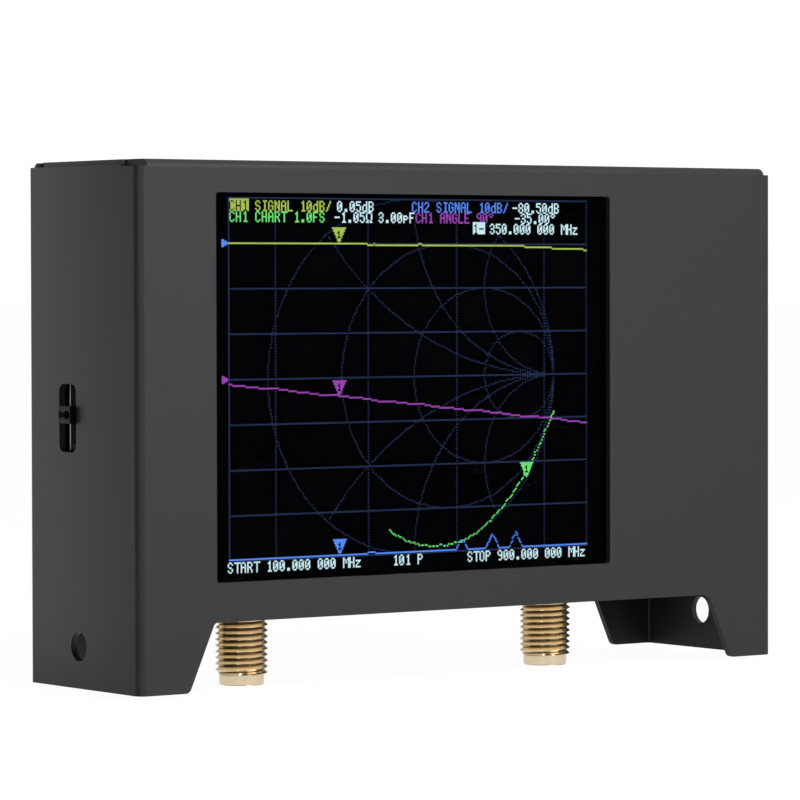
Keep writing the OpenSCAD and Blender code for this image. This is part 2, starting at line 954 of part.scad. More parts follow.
module usb_shell() {
    color([0.75, 0.75, 0.76])
    difference() {
        slab_x(usb_x - usb_l, usb_x)
            translate([usb_y, usb_z])
                rounded_rect(usb_t, usb_w, usb_corner);
        usb_inside(usb_x - usb_l - 1, usb_x + 1);
    }
}

module usb_tongue() {
    block_l = 2;
    tongue_t = 0.7;
    tongue_w = 6.7;
    color([0.05, 0.05, 0.05])
    union() {
        usb_inside(usb_x - usb_l, usb_x - usb_l + block_l);
        span([usb_x - usb_l + block_l, usb_y - tongue_t / 2, usb_z - tongue_w / 2],
             [usb_x - 0.8, usb_y + tongue_t / 2, usb_z + tongue_w / 2]);
    }
}

// ---------- battery ----------

guard_x = 16;
guard_w = 20;
guard_y = cell_back_y - 3.2;
guard_t = 1.2;
guard_h = 2;
guard_top_z = cell_z + cell_h + guard_h;

module battery_cell() {
    color([0.72, 0.74, 0.77])
    translate([0, (cell_y + cell_back_y) / 2, cell_z])
        linear_extrude(cell_h)
            rounded_rect(cell_w, cell_t, 1.6);
}

module battery_guard_board() {
    color([0.1, 0.3, 0.16])
    span([guard_x - guard_w / 2, guard_y, cell_z + cell_h],
         [guard_x + guard_w / 2, guard_y + guard_t, guard_top_z]);
}

module battery_tape() {
    color([0.85, 0.85, 0.8])
    span([-24, cell_back_y, cell_z + 5], [24, lip_in_y, cell_z + cell_h - 5]);
}

plug_x = 35.5;
plug_y = 2.9;
plug_z = feet_z + 34.4;
plug_top_z = plug_z + 6;

module battery_socket() {
    color([0.9, 0.88, 0.8])
    difference() {
        chip(plug_x, plug_z + 1.2, 6.8, 4.9, rf_back_y, 5);
        chip(plug_x, plug_z + 5, 5.8, 10, 1.3, 4.5);
    }
}

module battery_plug() {
    color([0.93, 0.92, 0.86])
    chip(plug_x, plug_z + 3, 5.6, 6, 1.4, 4.4);
}

// A lead is a round tube along a curve that leaves the battery upwards and enters the plug from above
lead_steps = 22;
lead_sides = 8;
function bezier(a, b, c, d, t) =
    a * pow(1 - t, 3) + 3 * b * pow(1 - t, 2) * t + 3 * c * (1 - t) * pow(t, 2) + d * pow(t, 3);
function unit(v) = v / norm(v);
function lead_path(x0, x1, lift) = [
    for (i = [0:lead_steps])
        bezier([x0, guard_y + guard_t / 2, guard_top_z], [x0, guard_y + guard_t / 2, lift],
               [x1, plug_y, lift], [x1, plug_y, plug_top_z], i / lead_steps)
];
function lead_dir(p, i) =
    i == 0 ? [0, 0, 1] : i == lead_steps ? [0, 0, -1] : unit(p[i + 1] - p[i - 1]);

module lead(path) {
    // the ring's first axis stays perpendicular to the plane in which the lead bends
    side = unit(cross([0, 0, 1], path[lead_steps] - path[0]));
    rings = [
        for (i = [0:lead_steps])
            let (d = lead_dir(path, i), up = unit(cross(d, side)), out = cross(up, d))
            for (k = [0:lead_sides - 1])
                let (a = 360 * k / lead_sides)
                path[i] + lead_d / 2 * (cos(a) * out + sin(a) * up)
    ];
    walls = [
        for (i = [0:lead_steps - 1], k = [0:lead_sides - 1])
            let (a = i * lead_sides + k, b = i * lead_sides + (k + 1) % lead_sides)
            [a, b, b + lead_sides, a + lead_sides]
    ];
    first = [for (k = [lead_sides - 1:-1:0]) k];
    last = [for (k = [0:lead_sides - 1]) lead_steps * lead_sides + k];
    polyhedron(points = rings, faces = concat([first], walls, [last]));
}

module battery_lead_red() {
    color([0.7, 0.05, 0.05])
    lead(lead_path(20, plug_x + 1, top_z + 1.2));
}

module battery_lead_black() {
    color([0.05, 0.05, 0.05])
    lead(lead_path(22, plug_x - 1, top_z - 1.8));
}

case_sleeve();
chassis();
case_screws();
rear_standoffs();
front_spacers();
board_screws();
window_gasket();
touch_panel();
lcd_glass();
lcd_driver_chip();
light_guide();
lcd_tray();
lcd_flex();
flex_connector();
mounting_foam();
display_board();
processor_chip();
header_base();
header_pins();
header_socket();
rf_board();
left_shield();
right_shield();
rf_chips();
quartz_crystal();
port_jack(ports[0]);  // port_1_jack
port_insulator(ports[0]);  // port_1_insulator
port_contact(ports[0]);  // port_1_contact
port_jack(ports[1]);  // port_2_jack
port_insulator(ports[1]);  // port_2_insulator
port_contact(ports[1]);  // port_2_contact
jog_housing();
jog_cover();
jog_dome();
jog_carriage();
jog_pin();
jog_lever();
power_switch_frame();
power_switch_base();
power_knob();
usb_shell();
usb_tongue();
battery_cell();
battery_guard_board();
battery_tape();
battery_socket();
battery_plug();
battery_lead_red();
battery_lead_black();
charger_chip();
charger_inductor();
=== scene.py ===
"""Looks of a pocket two-port network analyser: powder-coated sheet case, lit display, threaded ports."""

import json
import math

import bmesh
import bpy
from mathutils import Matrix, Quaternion, Vector


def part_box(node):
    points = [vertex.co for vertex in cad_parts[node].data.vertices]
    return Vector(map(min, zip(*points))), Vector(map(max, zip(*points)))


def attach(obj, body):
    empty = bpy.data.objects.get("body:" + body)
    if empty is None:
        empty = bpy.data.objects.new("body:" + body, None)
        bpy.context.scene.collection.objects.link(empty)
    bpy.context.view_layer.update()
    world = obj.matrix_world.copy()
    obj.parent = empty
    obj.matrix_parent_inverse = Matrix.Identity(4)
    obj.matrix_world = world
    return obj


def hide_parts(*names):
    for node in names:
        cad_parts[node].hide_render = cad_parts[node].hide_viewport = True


MM = 0.001

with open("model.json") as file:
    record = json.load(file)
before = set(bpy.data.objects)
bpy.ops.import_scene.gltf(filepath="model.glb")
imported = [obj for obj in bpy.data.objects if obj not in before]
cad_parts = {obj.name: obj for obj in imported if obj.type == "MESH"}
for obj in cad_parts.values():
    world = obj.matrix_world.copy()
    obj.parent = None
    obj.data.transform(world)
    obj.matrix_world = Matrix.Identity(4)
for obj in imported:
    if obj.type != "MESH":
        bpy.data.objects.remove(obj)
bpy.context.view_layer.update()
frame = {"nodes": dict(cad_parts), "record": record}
NODES = frame["nodes"]
SLOT_OF = {part["node"]: part["material_slot"] for part in frame["record"]["subparts"]}
COLOUR_OF = {m["slot"]: m["base_color"] for m in frame["record"]["materials"]}


# ---------- camera ----------

CAMERA_SPOT = Vector((-316.06, -431.85, 47.57)) * MM
CAMERA_LOOK = Vector((0.588141, 0.808302, -0.027163))
CAMERA_ROLL = math.radians(0.129)
CAMERA_LENS = 199.17
SENSOR_W = 36
NEAR = 0.01
FAR = 50


def make_camera():
    data = bpy.data.cameras.new("camera")
    data.lens = CAMERA_LENS
    data.sensor_width = SENSOR_W
    data.clip_start = NEAR
    data.clip_end = FAR
    camera = bpy.data.objects.new("camera", data)
    camera.location = CAMERA_SPOT
    camera.rotation_mode = "QUATERNION"
    roll = Quaternion(CAMERA_LOOK, CAMERA_ROLL)
    camera.rotation_quaternion = roll @ CAMERA_LOOK.to_track_quat("-Z", "Y")
    bpy.context.scene.collection.objects.link(camera)
    bpy.context.scene.camera = camera


# ---------- node trees ----------

class Shader:
    """A material's node tree, with short calls for the nodes that the materials share."""

    def __init__(self, name):
        self.material = bpy.data.materials.new(name)
        self.material.use_nodes = True
        self.tree = self.material.node_tree
        self.surface = self.tree.nodes["Principled BSDF"]
        self.place = self.tree.nodes.new("ShaderNodeTexCoord").outputs["Object"]

    def link(self, source, target):
        self.tree.links.new(source, target)

    def set(self, **values):
        for name, value in values.items():
            self.surface.inputs[name.replace("_", " ")].default_value = value

    def stretched(self, scale):
        node = self.tree.nodes.new("ShaderNodeMapping")
        node.inputs["Scale"].default_value = scale
        self.link(self.place, node.inputs["Vector"])
        return node.outputs["Vector"]

    def noise(self, size, detail=2.0, rough=0.5, place=None):
        """Noise whose blotches are about `size` metres across."""
        node = self.tree.nodes.new("ShaderNodeTexNoise")
        node.inputs["Scale"].default_value = 1 / size
        node.inputs["Detail"].default_value = detail
        node.inputs["Roughness"].default_value = rough
        self.link(place or self.place, node.inputs["Vector"])
        return node.outputs["Fac"]

    def cells(self, size, place=None):
        node = self.tree.nodes.new("ShaderNodeTexVoronoi")
        node.inputs["Scale"].default_value = 1 / size
        self.link(place or self.place, node.inputs["Vector"])
        return node.outputs["Distance"]

    def ramp(self, fac, low, high, start=0.0, end=1.0):
        """Maps fac from start..end to low..high."""
        node = self.tree.nodes.new("ShaderNodeMapRange")
        node.inputs["From Min"].default_value = start
        node.inputs["From Max"].default_value = end
        node.inputs["To Min"].default_value = low
        node.inputs["To Max"].default_value = high
        self.link(fac, node.inputs["Value"])
        return node.outputs["Result"]

    def maths(self, operation, a, b):
        node = self.tree.nodes.new("ShaderNodeMath")
        node.operation = operation
        for socket, value in zip(node.inputs, (a, b)):
            if isinstance(value, (int, float)):
                socket.default_value = value
            else:
                self.link(value, socket)
        return node.outputs["Value"]

    def mix(self, fac, low, high):
        """A colour between low and high; each is a colour or another node's output."""
        node = self.tree.nodes.new("ShaderNodeMix")
        node.data_type = "RGBA"
        self.link(fac, node.inputs["Factor"])
        for socket, value in ((node.inputs[6], low), (node.inputs[7], high)):
            if isinstance(value, (tuple, list)):
                socket.default_value = (*value[:3], 1)
            else:
                self.link(value, socket)
        return node.outputs[2]

    def colour(self, source):
        self.link(source, self.surface.inputs["Base Color"])

    def roughness(self, source):
        self.link(source, self.surface.inputs["Roughness"])

    def bump(self, height, depth, strength=1.0):
        node = self.tree.nodes.new("ShaderNodeBump")
        node.inputs["Distance"].default_value = depth
        node.inputs["Strength"].default_value = strength
        self.link(height, node.inputs["Height"])
        self.link(node.outputs["Normal"], self.surface.inputs["Normal"])


def shade(colour, factor):
    return tuple(min(1.0, c * factor) for c in colour[:3])


# ---------- materials ----------

COAT_LIGHT = (0.029, 0.029, 0.0295)
COAT_DARK = (0.0235, 0.0235, 0.024)


def powder_coat(name):
    """Satin powder coat: fine orange peel, faint cloudiness and small pale specks."""
    s = Shader(name)
    cloud = s.noise(14 * MM, detail=3)
    grain = s.noise(0.22 * MM, detail=3, rough=0.65)
    mixed = s.mix(s.ramp(grain, 0, 1, 0.3, 0.7), COAT_DARK, COAT_LIGHT)
    s.colour(s.mix(s.ramp(cloud, 0, 0.35), mixed, COAT_DARK))
    s.roughness(s.ramp(grain, 0.40, 0.52, 0.3, 0.7))
    s.set(Specular_IOR_Level=0.3)
    s.bump(s.noise(0.32 * MM, detail=2), 0.012 * MM, 0.6)
    return s.material


def black_oxide(name):
    s = Shader(name)
    s.colour(s.mix(s.noise(0.5 * MM), (0.03, 0.03, 0.032), (0.06, 0.06, 0.062)))
    s.roughness(s.ramp(s.noise(0.3 * MM), 0.28, 0.45))
    s.set(Metallic=0.7)
    s.bump(s.noise(0.2 * MM), 0.006 * MM, 0.5)
    return s.material


def turned_brass(name):
    """Gold-coloured turned brass, with painted shade down in the roots of the thread, which makes them
    browner and duller.
    """
    s = Shader(name)
    depth = s.tree.nodes.new("ShaderNodeAttribute")
    depth.attribute_name = "height"
    height = depth.outputs["Fac"]
    lathe = s.noise(0.05 * MM, place=s.stretched((0.1, 0.1, 1.0)))
    stain = s.noise(1.1 * MM, detail=4, rough=0.65)
    bright = s.mix(lathe, (0.90, 0.72, 0.46), (0.98, 0.84, 0.60))
    worn = s.mix(s.ramp(stain, 0, 0.5, 0.5, 0.75), bright, (0.84, 0.60, 0.34))
    # Painted shade: the colour turns dark brown down in the thread's roots, following the thread's
    # height.
    s.colour(s.mix(s.ramp(height, 0, 1, 0.05, 0.5), (0.50, 0.36, 0.20), worn))
    s.roughness(s.ramp(lathe, 0.14, 0.3))
    s.set(Metallic=1.0)
    s.bump(lathe, 0.004 * MM, 0.5)
    return s.material


def plain_metal(name, colour, rough=(0.22, 0.4)):
    s = Shader(name)
    brushed = s.noise(0.06 * MM, place=s.stretched((1.0, 0.06, 0.3)))
    s.colour(s.mix(s.noise(1.5 * MM, detail=3), shade(colour, 0.82), shade(colour, 1.05)))
    s.roughness(s.ramp(brushed, *rough))
    s.set(Metallic=1.0)
    s.bump(brushed, 0.003 * MM, 0.5)
    return s.material


def moulded(name, colour, rough=0.45, grain=0.12, subsurface=0.0, gloss=0.5):
    """Moulded plastic, film or rubber with a fine spark-eroded texture."""
    s = Shader(name)
    s.colour(s.mix(s.noise(3 * MM, detail=3), shade(colour, 0.88), shade(colour, 1.08)))
    fine = s.noise(grain * MM, detail=2)
    s.roughness(s.ramp(fine, rough - 0.08, rough + 0.1))
    s.bump(fine, 0.006 * MM, 0.5)
    s.set(Specular_IOR_Level=gloss)
    if subsurface:
        s.set(Subsurface_Weight=subsurface, Subsurface_Scale=0.4 * MM)
    return s.material


def circuit_board(name):
    """Black solder mask over copper pours, whose edges show as faint steps."""
    s = Shader(name)
    pour = s.ramp(s.cells(2.6 * MM), 0, 1, 0.42, 0.46)
    weave = s.noise(0.15 * MM, detail=2)
    s.colour(s.mix(pour, (0.012, 0.022, 0.018), (0.02, 0.036, 0.028)))
    s.roughness(s.ramp(weave, 0.24, 0.36))
    s.bump(pour, 0.02 * MM, 0.4)
    return s.material


def laminate(name, colour):
    s = Shader(name)
    fibre = s.noise(0.08 * MM, place=s.stretched((0.1, 1.0, 0.15)))
    s.colour(s.mix(fibre, shade(colour, 0.75), shade(colour, 1.1)))
    s.roughness(s.ramp(fibre, 0.5, 0.7))
    s.bump(fibre, 0.005 * MM, 0.5)
    return s.material


def clear_window(name):
    """Clear touch film: polished, with a trace of finger haze in its roughness."""
    s = Shader(name)
    haze = s.noise(9 * MM, detail=5, rough=0.6)
    s.colour(s.mix(haze, (0.96, 0.97, 0.97), (1.0, 1.0, 1.0)))
    s.roughness(s.ramp(haze, 0.0, 0.03, 0.45, 0.8))
    s.set(Transmission_Weight=1.0, IOR=1.0)
    return s.material


DOT = 0.18 * MM
DOT_LIFT = 0.03 * MM
PICTURE_INSET = Vector((2.73, 3.35)) * MM


def dark_display(name):
    """The unlit display under its polarizer: near black, with the faintest bluish depth."""
    s = Shader(name)
    s.colour(s.mix(s.noise(6 * MM), (0.0006, 0.0006, 0.0009), (0.0012, 0.0013, 0.0018)))
    s.roughness(s.ramp(s.noise(0.2 * MM), 0.3, 0.4))
    s.set(Specular_IOR_Level=0.0)
    return s.material


def lit_dots(name, colour, strength):
    """Lit display dots: a thin dark lattice parts them, and each row varies a little."""
    s = Shader(name)
    split = s.tree.nodes.new("ShaderNodeSeparateXYZ")
    s.link(s.place, split.inputs["Vector"])
    masks = []
    for axis in ("X", "Z"):
        phase = s.maths("FRACT", s.maths("DIVIDE", split.outputs[axis], DOT), 0.0)
        centred = s.maths("ABSOLUTE", s.maths("SUBTRACT", phase, 0.5), 0.0)
        masks.append(s.ramp(centred, 1.0, 0.75, 0.36, 0.5))
    lattice = s.maths("MULTIPLY", masks[0], masks[1])
    glow = s.maths("MULTIPLY", lattice, s.ramp(s.noise(2 * MM), strength * 0.9, strength * 1.1))
    s.colour(s.mix(lattice, shade(colour, 0.03), shade(colour, 0.06)))
    s.link(glow, s.surface.inputs["Emission Strength"])
    s.set(Emission_Color=(*colour, 1), Roughness=0.5, Specular_IOR_Level=0.0)
    return s.material


SCREEN_COLOURS = {
    "screen_white": ((0.68, 0.93, 1.0), 0.85),
    "screen_yellow": ((0.50, 0.68, 0.11), 0.75),
    "screen_magenta": ((0.37, 0.075, 0.50), 0.8),
    "screen_green": ((0.18, 0.88, 0.2), 0.8),
    "screen_blue": ((0.11, 0.28, 1.0), 0.85),
    "screen_grid": ((0.020, 0.032, 0.078), 0.85),
}


def make_materials():
    made = {
        "case_paint": powder_coat("case_paint_coat"),
        "black_screw": black_oxide("black_screw_finish"),
        "plated_steel": plain_metal("plated_steel_finish", COLOUR_OF["plated_steel"]),
        "tinned_steel": plain_metal("tinned_steel_finish", COLOUR_OF["tinned_steel"], (0.3, 0.45)),
        "port_brass": turned_brass("port_brass_finish"),
        "knob_plastic": moulded(
            "knob_plastic_finish", shade(COLOUR_OF["knob_plastic"], 0.12), 0.4, gloss=0.12),
        "gold_contact": plain_metal("gold_contact_finish", COLOUR_OF["gold_contact"], (0.12, 0.25)),
        "ptfe_white": moulded("ptfe_white_finish", COLOUR_OF["ptfe_white"], 0.4, 0.2, 0.3),
        "window_glass": clear_window("window_glass_finish"),
        "display_black": dark_display("display_black_finish"),
        "foil_silver": plain_metal("foil_silver_finish", COLOUR_OF["foil_silver"], (0.3, 0.5)),
        "board_mask": circuit_board("board_mask_finish"),
        "brown_laminate": laminate("brown_laminate_finish", COLOUR_OF["brown_laminate"]),
    }
    for slot, (colour, strength) in SCREEN_COLOURS.items():
        made[slot] = lit_dots(slot + "_glow", colour, strength)
    roughness = {"amber_film": 0.25, "black_foam": 0.85, "ferrite_grey": 0.6}
    for slot, colour in COLOUR_OF.items():
        if slot not in made:
            gloss = 0.12 if slot == "black_plastic" else 0.5
            made[slot] = moulded(slot + "_finish", colour, roughness.get(slot, 0.5), gloss=gloss)
    return made


# ---------- pieces ----------

WELD_DISTANCE = 0.002 * MM
FLAT_ANGLE = math.radians(0.4)
SHARP_ANGLE = math.radians(30)


def add_modifier(piece, kind, **values):
    modifier = piece.modifiers.new(kind.lower(), kind)
    for name, value in values.items():
        setattr(modifier, name, value)


def round_edges(piece, width):
    """Welds a mesh, merges its flat facets and breaks its sharp edges."""
    add_modifier(piece, "WELD", merge_threshold=WELD_DISTANCE)
    add_modifier(piece, "DECIMATE", decimate_type="DISSOLVE", angle_limit=FLAT_ANGLE)
    add_modifier(piece, "BEVEL", width=width, segments=2, limit_method="ANGLE",
                 angle_limit=SHARP_ANGLE, miter_outer="MITER_ARC")
    add_modifier(piece, "WEIGHTED_NORMAL", weight=80, keep_sharp=False)


def finish_node(name, materials, edge=None):
    """Gives a CAD node its finish, and rounds its edges."""
    piece = NODES[name]
    piece.data.materials.clear()
    piece.data.materials.append(materials[SLOT_OF[name]])
    for polygon in piece.data.polygons:
        polygon.material_index = 0
    if edge:
        for polygon in piece.data.polygons:
            polygon.use_smooth = True
        round_edges(piece, edge)


def new_piece(name, bm, body, slot, materials, replaces=()):
    """Turns a bmesh in the row frame into a piece that rides on a body."""
    bmesh.ops.recalc_face_normals(bm, faces=bm.faces)
    mesh = bpy.data.meshes.new(name)
    bm.to_mesh(mesh)
    bm.free()
    piece = bpy.data.objects.new(name, mesh)
    bpy.context.scene.collection.objects.link(piece)
    mesh.materials.append(materials[slot])
    for polygon in mesh.polygons:
        polygon.use_smooth = True
    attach(piece, body)
    if replaces:
        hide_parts(*replaces)
    return piece


def add_box(bm, low, high):
    corners = [
        bm.verts.new((x, y, z))
        for z in (low[2], high[2]) for y in (low[1], high[1]) for x in (low[0], high[0])
    ]
    for face in ("0231", "4576", "0154", "2673", "0462", "1375"):
        bm.faces.new([corners[int(i)] for i in face])


def add_loft(bm, rings, closed=False):
    """Faces between rings of points of equal count. With closed, the last ring joins the first."""
    made = [[bm.verts.new(point) for point in ring] for ring in rings]
    count = len(made[0])
    last = len(made) if closed else len(made) - 1
    for j in range(last):
        low, high = made[j], made[(j + 1) % len(made)]
        for i in range(count):
            k = (i + 1) % count
            bm.faces.new((low[i], low[k], high[k], high[i]))
    return made


def ring_at(centre_x, radius, z, count):
    """A circle of points about a port's axis, which is upright and lies at Y = 0."""
    return [
        Vector((centre_x + radius * math.cos(a), radius * math.sin(a), z))
        for a in (2 * math.pi * i / count for i in range(count))
    ]


# ---------- port jacks ----------

JACK_SIDES = 72
TIP_R = 2.65 * MM
TIP_L = 1.1 * MM
THREAD_R = 3.1 * MM
ROOT_R = 2.667 * MM
PITCH = 0.7056 * MM
THREAD_TOP = 8.45 * MM
BORE_R = 2.3 * MM
BORE_L = 1.9 * MM
DIELECTRIC_R = 2.05 * MM
BLOCK_LOW = 9.6 * MM
BLOCK_HIGH = 11.2 * MM
BLOCK_HALF = 3.2 * MM
SEAT = 10.0 * MM
TIP_BEVEL = 0.34 * MM
TIP_RELIEF = 0.1 * MM
CREST_SHARE = 0.07
SPLIT_ANGLE = math.radians(34)
LEG_W = 1 * MM
LEG_L = 3 * MM


def smooth_step(x):
    x = max(0.0, min(1.0, x))
    return x * x * (3 - 2 * x)


def thread_radius(phase, z):
    """Radius of a V thread at a phase of its pitch, fading to the root at both ends."""
    away = abs(phase - 0.5) * 2
    height = min(1.0, max(0.0, (1 - away) / (1 - CREST_SHARE)))
    fade_in = smooth_step((z - TIP_L) / (0.5 * PITCH))
    fade_out = smooth_step((THREAD_TOP - z) / (0.8 * PITCH))
    return ROOT_R + (THREAD_R - ROOT_R) * height * fade_in * fade_out


def add_thread(bm, x):
    """A right-hand helical thread between the tip and the block, as rows that climb a pitch a turn."""
    phases = (0.0, 0.12, 0.465, 0.5, 0.535, 0.88)
    turns = math.ceil((THREAD_TOP - TIP_L) / PITCH) + 2
    rows = []
    for turn in range(-1, turns):
        for phase in phases:
            row = []
            for i in range(JACK_SIDES + 1):
                part = i / JACK_SIDES
                z = TIP_L + (turn + phase + part) * PITCH
                z = max(TIP_L, min(THREAD_TOP, z))
                r = thread_radius(phase, z)
                a = 2 * math.pi * part
                row.append(bm.verts.new((x + r * math.cos(a), r * math.sin(a), z)))
            rows.append(row)
    for low, high in zip(rows, rows[1:]):
        for i in range(JACK_SIDES):
            bm.faces.new((low[i], low[i + 1], high[i + 1], high[i]))


def make_jack(port, materials):
    node = f"port_{port}_jack"
    low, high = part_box(node)
    x = (low.x + high.x) / 2
    bm = bmesh.new()
    add_thread(bm, x)
    bevel = TIP_BEVEL
    profile = [(ROOT_R, THREAD_TOP), (ROOT_R, SEAT), (DIELECTRIC_R, SEAT), (DIELECTRIC_R, BORE_L),
               (BORE_R, BORE_L), (BORE_R, 2 * bevel), (BORE_R + bevel / 2, bevel * 0.7),
               (BORE_R + bevel * 0.75, 0)]
    for step in range(5):
        a = math.pi / 2 * step / 4
        profile.append((TIP_R - bevel * (1 - math.sin(a)) * 0.6, bevel * (1 - math.cos(a))))
    profile += [(TIP_R, TIP_L - TIP_RELIEF), (ROOT_R, TIP_L)]
    add_loft(bm, [ring_at(x, r, z, JACK_SIDES) for r, z in profile])
    bmesh.ops.remove_doubles(bm, verts=bm.verts, dist=0.0005 * MM)
    bmesh.ops.dissolve_degenerate(bm, edges=bm.edges, dist=0.0004 * MM)
    square = []
    for i in range(JACK_SIDES):
        a = 2 * math.pi * i / JACK_SIDES
        reach = BLOCK_HALF / max(abs(math.cos(a)), abs(math.sin(a)))
        square.append((x + reach * math.cos(a), reach * math.sin(a)))
    add_loft(bm, [
        [Vector((px, py, BLOCK_LOW)) for px, py in square],
        [Vector((px, py, BLOCK_HIGH)) for px, py in square],
        ring_at(x, DIELECTRIC_R, BLOCK_HIGH, JACK_SIDES),
        ring_at(x, DIELECTRIC_R, BLOCK_LOW, JACK_SIDES),
    ], closed=True)
    board_low, board_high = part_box("rf_board")
    for side in (-1, 1):
        for y in (board_low.y - LEG_W, board_high.y):
            corner = x + side * (BLOCK_HALF - LEG_W / 2) - LEG_W / 2
            add_box(bm, (corner, y, BLOCK_HIGH), (corner + LEG_W, y + LEG_W, BLOCK_HIGH + LEG_L))
    piece = new_piece(f"port_{port}_threaded_jack", bm, "case", "port_brass", materials, [node])
    # The thread's height at each point. The brass finish uses it to paint shade into the roots.
    heights = piece.data.attributes.new("height", "FLOAT", "POINT")
    for vertex, value in zip(piece.data.vertices, heights.data):
        radius = math.hypot(vertex.co.x - x, vertex.co.y)
        threaded = TIP_L < vertex.co.z < THREAD_TOP
        value.value = (radius - ROOT_R) / (THREAD_R - ROOT_R) if threaded else 0.8
    add_modifier(piece, "EDGE_SPLIT", split_angle=SPLIT_ANGLE)


# ---------- jog lever ----------

def make_lever(materials):
    """The jog lever: a knob with a pyramid-shaped pit and an oval dish, on a neck and a hub."""
    low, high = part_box("jog_lever")
    pin_low, pin_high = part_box("jog_pin")
    axis = (pin_low + pin_high) / 2
    knob_l = 1 * MM
    half_h = 1 * MM
    pit_h = 0.46 * MM
    pit_l = 1.25 * MM
    pit_depth = 0.42 * MM
    dish_depth = 0.5 * MM
    dish_end = 0.3 * MM
    rim = 0.1 * MM
    neck_w = 1.1 * MM
    neck_h = 1.4 * MM
    neck_y = 2.7 * MM
    hub_r = 1.15 * MM
    pin_r = 0.55 * MM
    rear = high.y - rim
    middle = rear - pit_l
    front = low.y + rim * 1.5
    upper_inner = [(rear, pit_h), (middle, pit_h), (front + dish_end, pit_h),
                   (front + dish_end * 0.29, pit_h * 0.8), (front, pit_h * 0.35)]
    upper_outer = [(high.y, half_h), (middle, half_h), (front + dish_end, half_h),
                   (low.y, half_h), (low.y, pit_h * 0.35)]

    def whole(upper):
        return upper + [(y, -z) for y, z in reversed(upper)]

    def level(bm, depth, outline):
        return [bm.verts.new((low.x + depth, y, axis.z + z)) for y, z in outline]

    bm = bmesh.new()
    inner = level(bm, 0, whole(upper_inner))
    outer = level(bm, 0, whole(upper_outer))
    back = level(bm, knob_l, whole(upper_outer))
    count = len(outer)
    for i in range(count):
        k = (i + 1) % count
        bm.faces.new((outer[i], outer[k], inner[k], inner[i]))
        bm.faces.new((outer[k], outer[i], back[i], back[k]))
    bm.faces.new(back)
    apex, = level(bm, pit_depth, [(rear - pit_l / 2, 0)])
    bm.faces.new((inner[0], inner[1], apex))
    bm.faces.new((inner[-2], inner[-1], apex))
    bm.faces.new((inner[-1], inner[0], apex))
    bottom = level(bm, dish_depth, whole(upper_inner)[1:-1])
    for i in range(len(bottom) - 1):
        bm.faces.new((inner[i + 1], inner[i + 2], bottom[i + 1], bottom[i]))
    deep, = level(bm, dish_depth, [(rear - pit_l / 2, 0)])
    bm.faces.new((apex, inner[1], bottom[0], deep))
    bm.faces.new((inner[-2], apex, deep, bottom[-1]))
    bm.faces.new([*bottom, deep])
    add_box(bm, (low.x + knob_l / 2, neck_y - neck_w / 2, axis.z - neck_h / 2),
            (axis.x - hub_r * 0.8, neck_y + neck_w / 2, axis.z + neck_h / 2))
    sides = 40
    hub = []
    for r, y in ((hub_r, -0.5), (hub_r, 0.5), (pin_r, 0.5), (pin_r, -0.5)):
        hub.append([
            Vector((axis.x + r * math.cos(a), neck_y + y * neck_w, axis.z + r * math.sin(a)))
            for a in (2 * math.pi * i / sides for i in range(sides))
        ])
    add_loft(bm, hub, closed=True)
    piece = new_piece("jog_lever_knob", bm, "jog_rocker", "knob_plastic", materials, ["jog_lever"])
    for polygon in piece.data.polygons:
        polygon.use_smooth = False
    add_modifier(piece, "BEVEL", width=0.05 * MM, segments=2, limit_method="ANGLE",
                 angle_limit=SHARP_ANGLE, harden_normals=False)


# ---------- display picture ----------

COLUMNS = 320
ROWS = 240
GRID_LEFT = 20
GRID_W = 291
GRID_H = 232
DIVISION = 29
CHART_COL = GRID_LEFT + 146
CHART_ROW = 116
CHART_R = 116
CELL = 5
MARKED = 86

GLYPHS = {
    "0": ".##. #..# #.## #.## ##.# #..# .##.",
    "1": "..#. .##. ..#. ..#. ..#. ..#. .###",
    "2": ".##. #..# ...# ..#. .#.. #... ####",
    "3": ".##. #..# ...# .##. ...# #..# .##.",
    "4": "...# ..## .#.# #..# #### ...# ...#",
    "5": "#### #... ###. ...# ...# #..# .##.",
    "7": "#### ...# ...# ..#. ..#. .#.. .#..",
    "8": ".##. #..# #..# .##. #..# #..# .##.",
    "9": ".##. #..# #..# .### ...# ...# .##.",
    "A": ".##. #..# #..# #### #..# #..# #..#",
    "B": "###. #..# #..# ###. #..# #..# ###.",
    "C": ".##. #..# #... #... #... #..# .##.",
    "E": "#### #... #... ###. #... #... ####",
    "F": "#### #... #... ###. #... #... #...",
    "G": ".##. #..# #... #.## #..# #..# .##.",
    "H": "#..# #..# #..# #### #..# #..# #..#",
    "I": ".### ..#. ..#. ..#. ..#. ..#. .###",
    "L": "#... #... #... #... #... #... ####",
    "M": "#...# ##.## #.#.# #.#.# #...# #...# #...#",
    "N": "#..# ##.# ##.# #.## #.## #..# #..#",
    "O": ".##. #..# #..# #..# #..# #..# .##.",
    "P": "###. #..# #..# ###. #... #... #...",
    "R": "###. #..# #..# ###. #.#. #..# #..#",
    "S": ".##. #..# #... .##. ...# #..# .##.",
    "T": "##### ..#.. ..#.. ..#.. ..#.. ..#.. ..#..",
    "V": "#..# #..# #..# #..# #..# .##. .##.",
    "d": "...# ...# .### #..# #..# #..# .###",
    "p": ".... .... ###. #..# ###. #... #...",
    "z": ".... .... #### ..#. .#.. #... ####",
    "o": ".##. #..# .##. .... .... .... ....",
    "-": ".... .... .... #### .... .... ....",
    "/": "...# ...# ..#. ..#. .#.. .#.. #...",
    ".": ".... .... .... .... .... .##. .##.",
    "w": ".###. #...# #...# #...# #...# .#.#. ##.##",
    " ": ".... .... .... .... .... .... ....",
}


